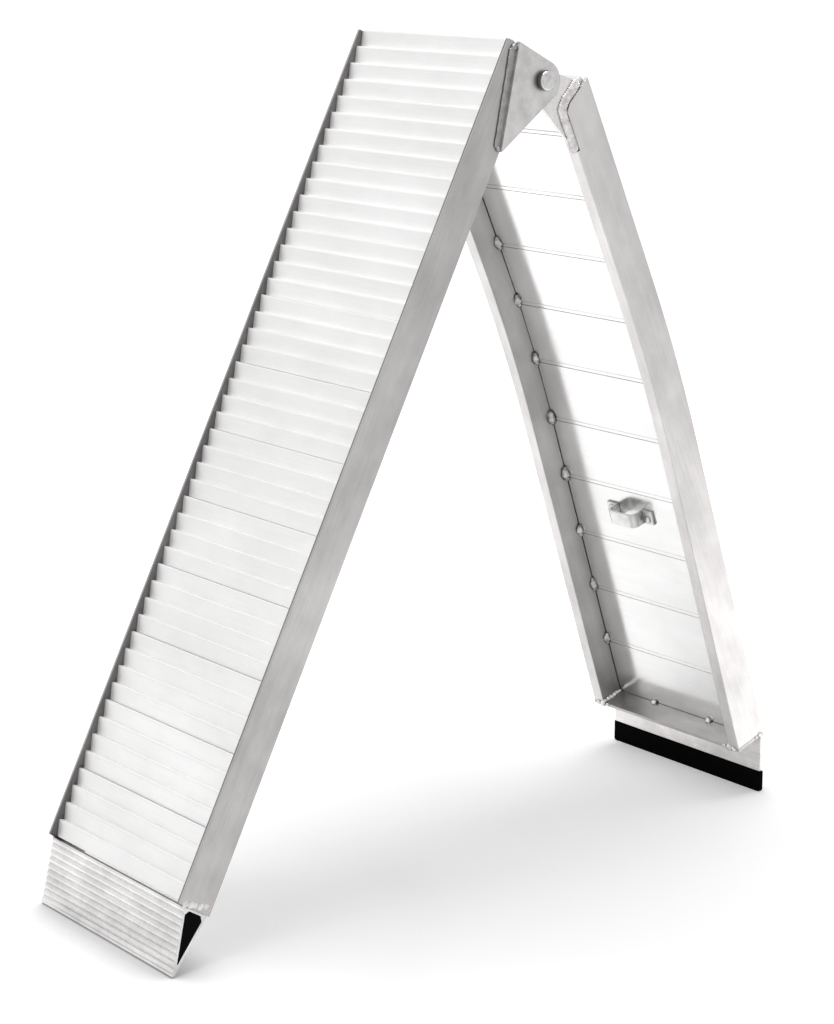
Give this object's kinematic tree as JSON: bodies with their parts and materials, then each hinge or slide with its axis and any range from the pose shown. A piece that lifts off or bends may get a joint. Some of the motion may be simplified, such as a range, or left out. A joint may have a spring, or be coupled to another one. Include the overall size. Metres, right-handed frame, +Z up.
{
  "type": "folding loading ramp",
  "caption": "Two-section folding aluminium motorcycle loading ramp with serrated interlocking deck planks, box side rails, an arched tailgate section, a ground wedge and a rubber-edged lip.",
  "frame": {"origin": "on the floor, under the middle of the ramp as it stands folded in an A", "axes": "+Z up, +Y along the hinge, +X from the ground wedge's foot to the lip's foot"},
  "size_m": [1.0379, 0.3368, 1.1057],
  "materials": {
    "mill_aluminium": "mill finish",
    "plate_aluminium": "mill finish, duller",
    "zinc_steel": "bright zinc plated",
    "black_plastic": "matt",
    "black_rubber": "matt"
  },
  "bodies": {
    "ground_section": {"ground_foot_wedge": "mill_aluminium", "ground_hinge_plate_far": "plate_aluminium", "ground_hinge_plate_near": "plate_aluminium", "ground_plank_01": "mill_aluminium", "ground_plank_02": "mill_aluminium", "ground_plank_03": "mill_aluminium", "ground_plank_04": "mill_aluminium", "ground_plank_05": "mill_aluminium", "ground_plank_06": "mill_aluminium", "ground_plank_07": "mill_aluminium", "ground_plank_08": "mill_aluminium", "ground_plank_09": "mill_aluminium", "ground_plank_10": "mill_aluminium", "ground_plank_11": "mill_aluminium", "ground_plank_12": "mill_aluminium", "ground_rail_far": "mill_aluminium", "ground_rail_near": "mill_aluminium", "inner_washer_far": "zinc_steel", "inner_washer_near": "zinc_steel", "lock_nut_far": "zinc_steel", "lock_nut_near": "zinc_steel", "pivot_bolt_far": "zinc_steel", "pivot_bolt_near": "zinc_steel", "spacer_washer_far": "zinc_steel", "spacer_washer_near": "zinc_steel", "wedge_plug_far": "black_plastic", "wedge_plug_near": "black_plastic"},
    "tailgate_section": {"handle_screw_far": "zinc_steel", "handle_screw_near": "zinc_steel", "lip_rubber": "black_rubber", "strap_handle": "zinc_steel", "tailgate_end_plate": "mill_aluminium", "tailgate_hinge_plate_far": "plate_aluminium", "tailgate_hinge_plate_near": "plate_aluminium", "tailgate_lip": "mill_aluminium", "tailgate_plank_01": "mill_aluminium", "tailgate_plank_02": "mill_aluminium", "tailgate_plank_03": "mill_aluminium", "tailgate_plank_04": "mill_aluminium", "tailgate_plank_05": "mill_aluminium", "tailgate_plank_06": "mill_aluminium", "tailgate_plank_07": "mill_aluminium", "tailgate_plank_08": "mill_aluminium", "tailgate_plank_09": "mill_aluminium", "tailgate_plank_10": "mill_aluminium", "tailgate_plank_11": "mill_aluminium", "tailgate_rail_far": "mill_aluminium", "tailgate_rail_near": "mill_aluminium"}
  },
  "joints": [
    {"name": "fold_hinge", "type": "hinge", "parent": "ground_section", "child": "tailgate_section", "pos_m": [0.07018, 0, 1.05188], "axis": [0, 1, 0], "range_deg": [-128.3, 50.1]}
  ]
}
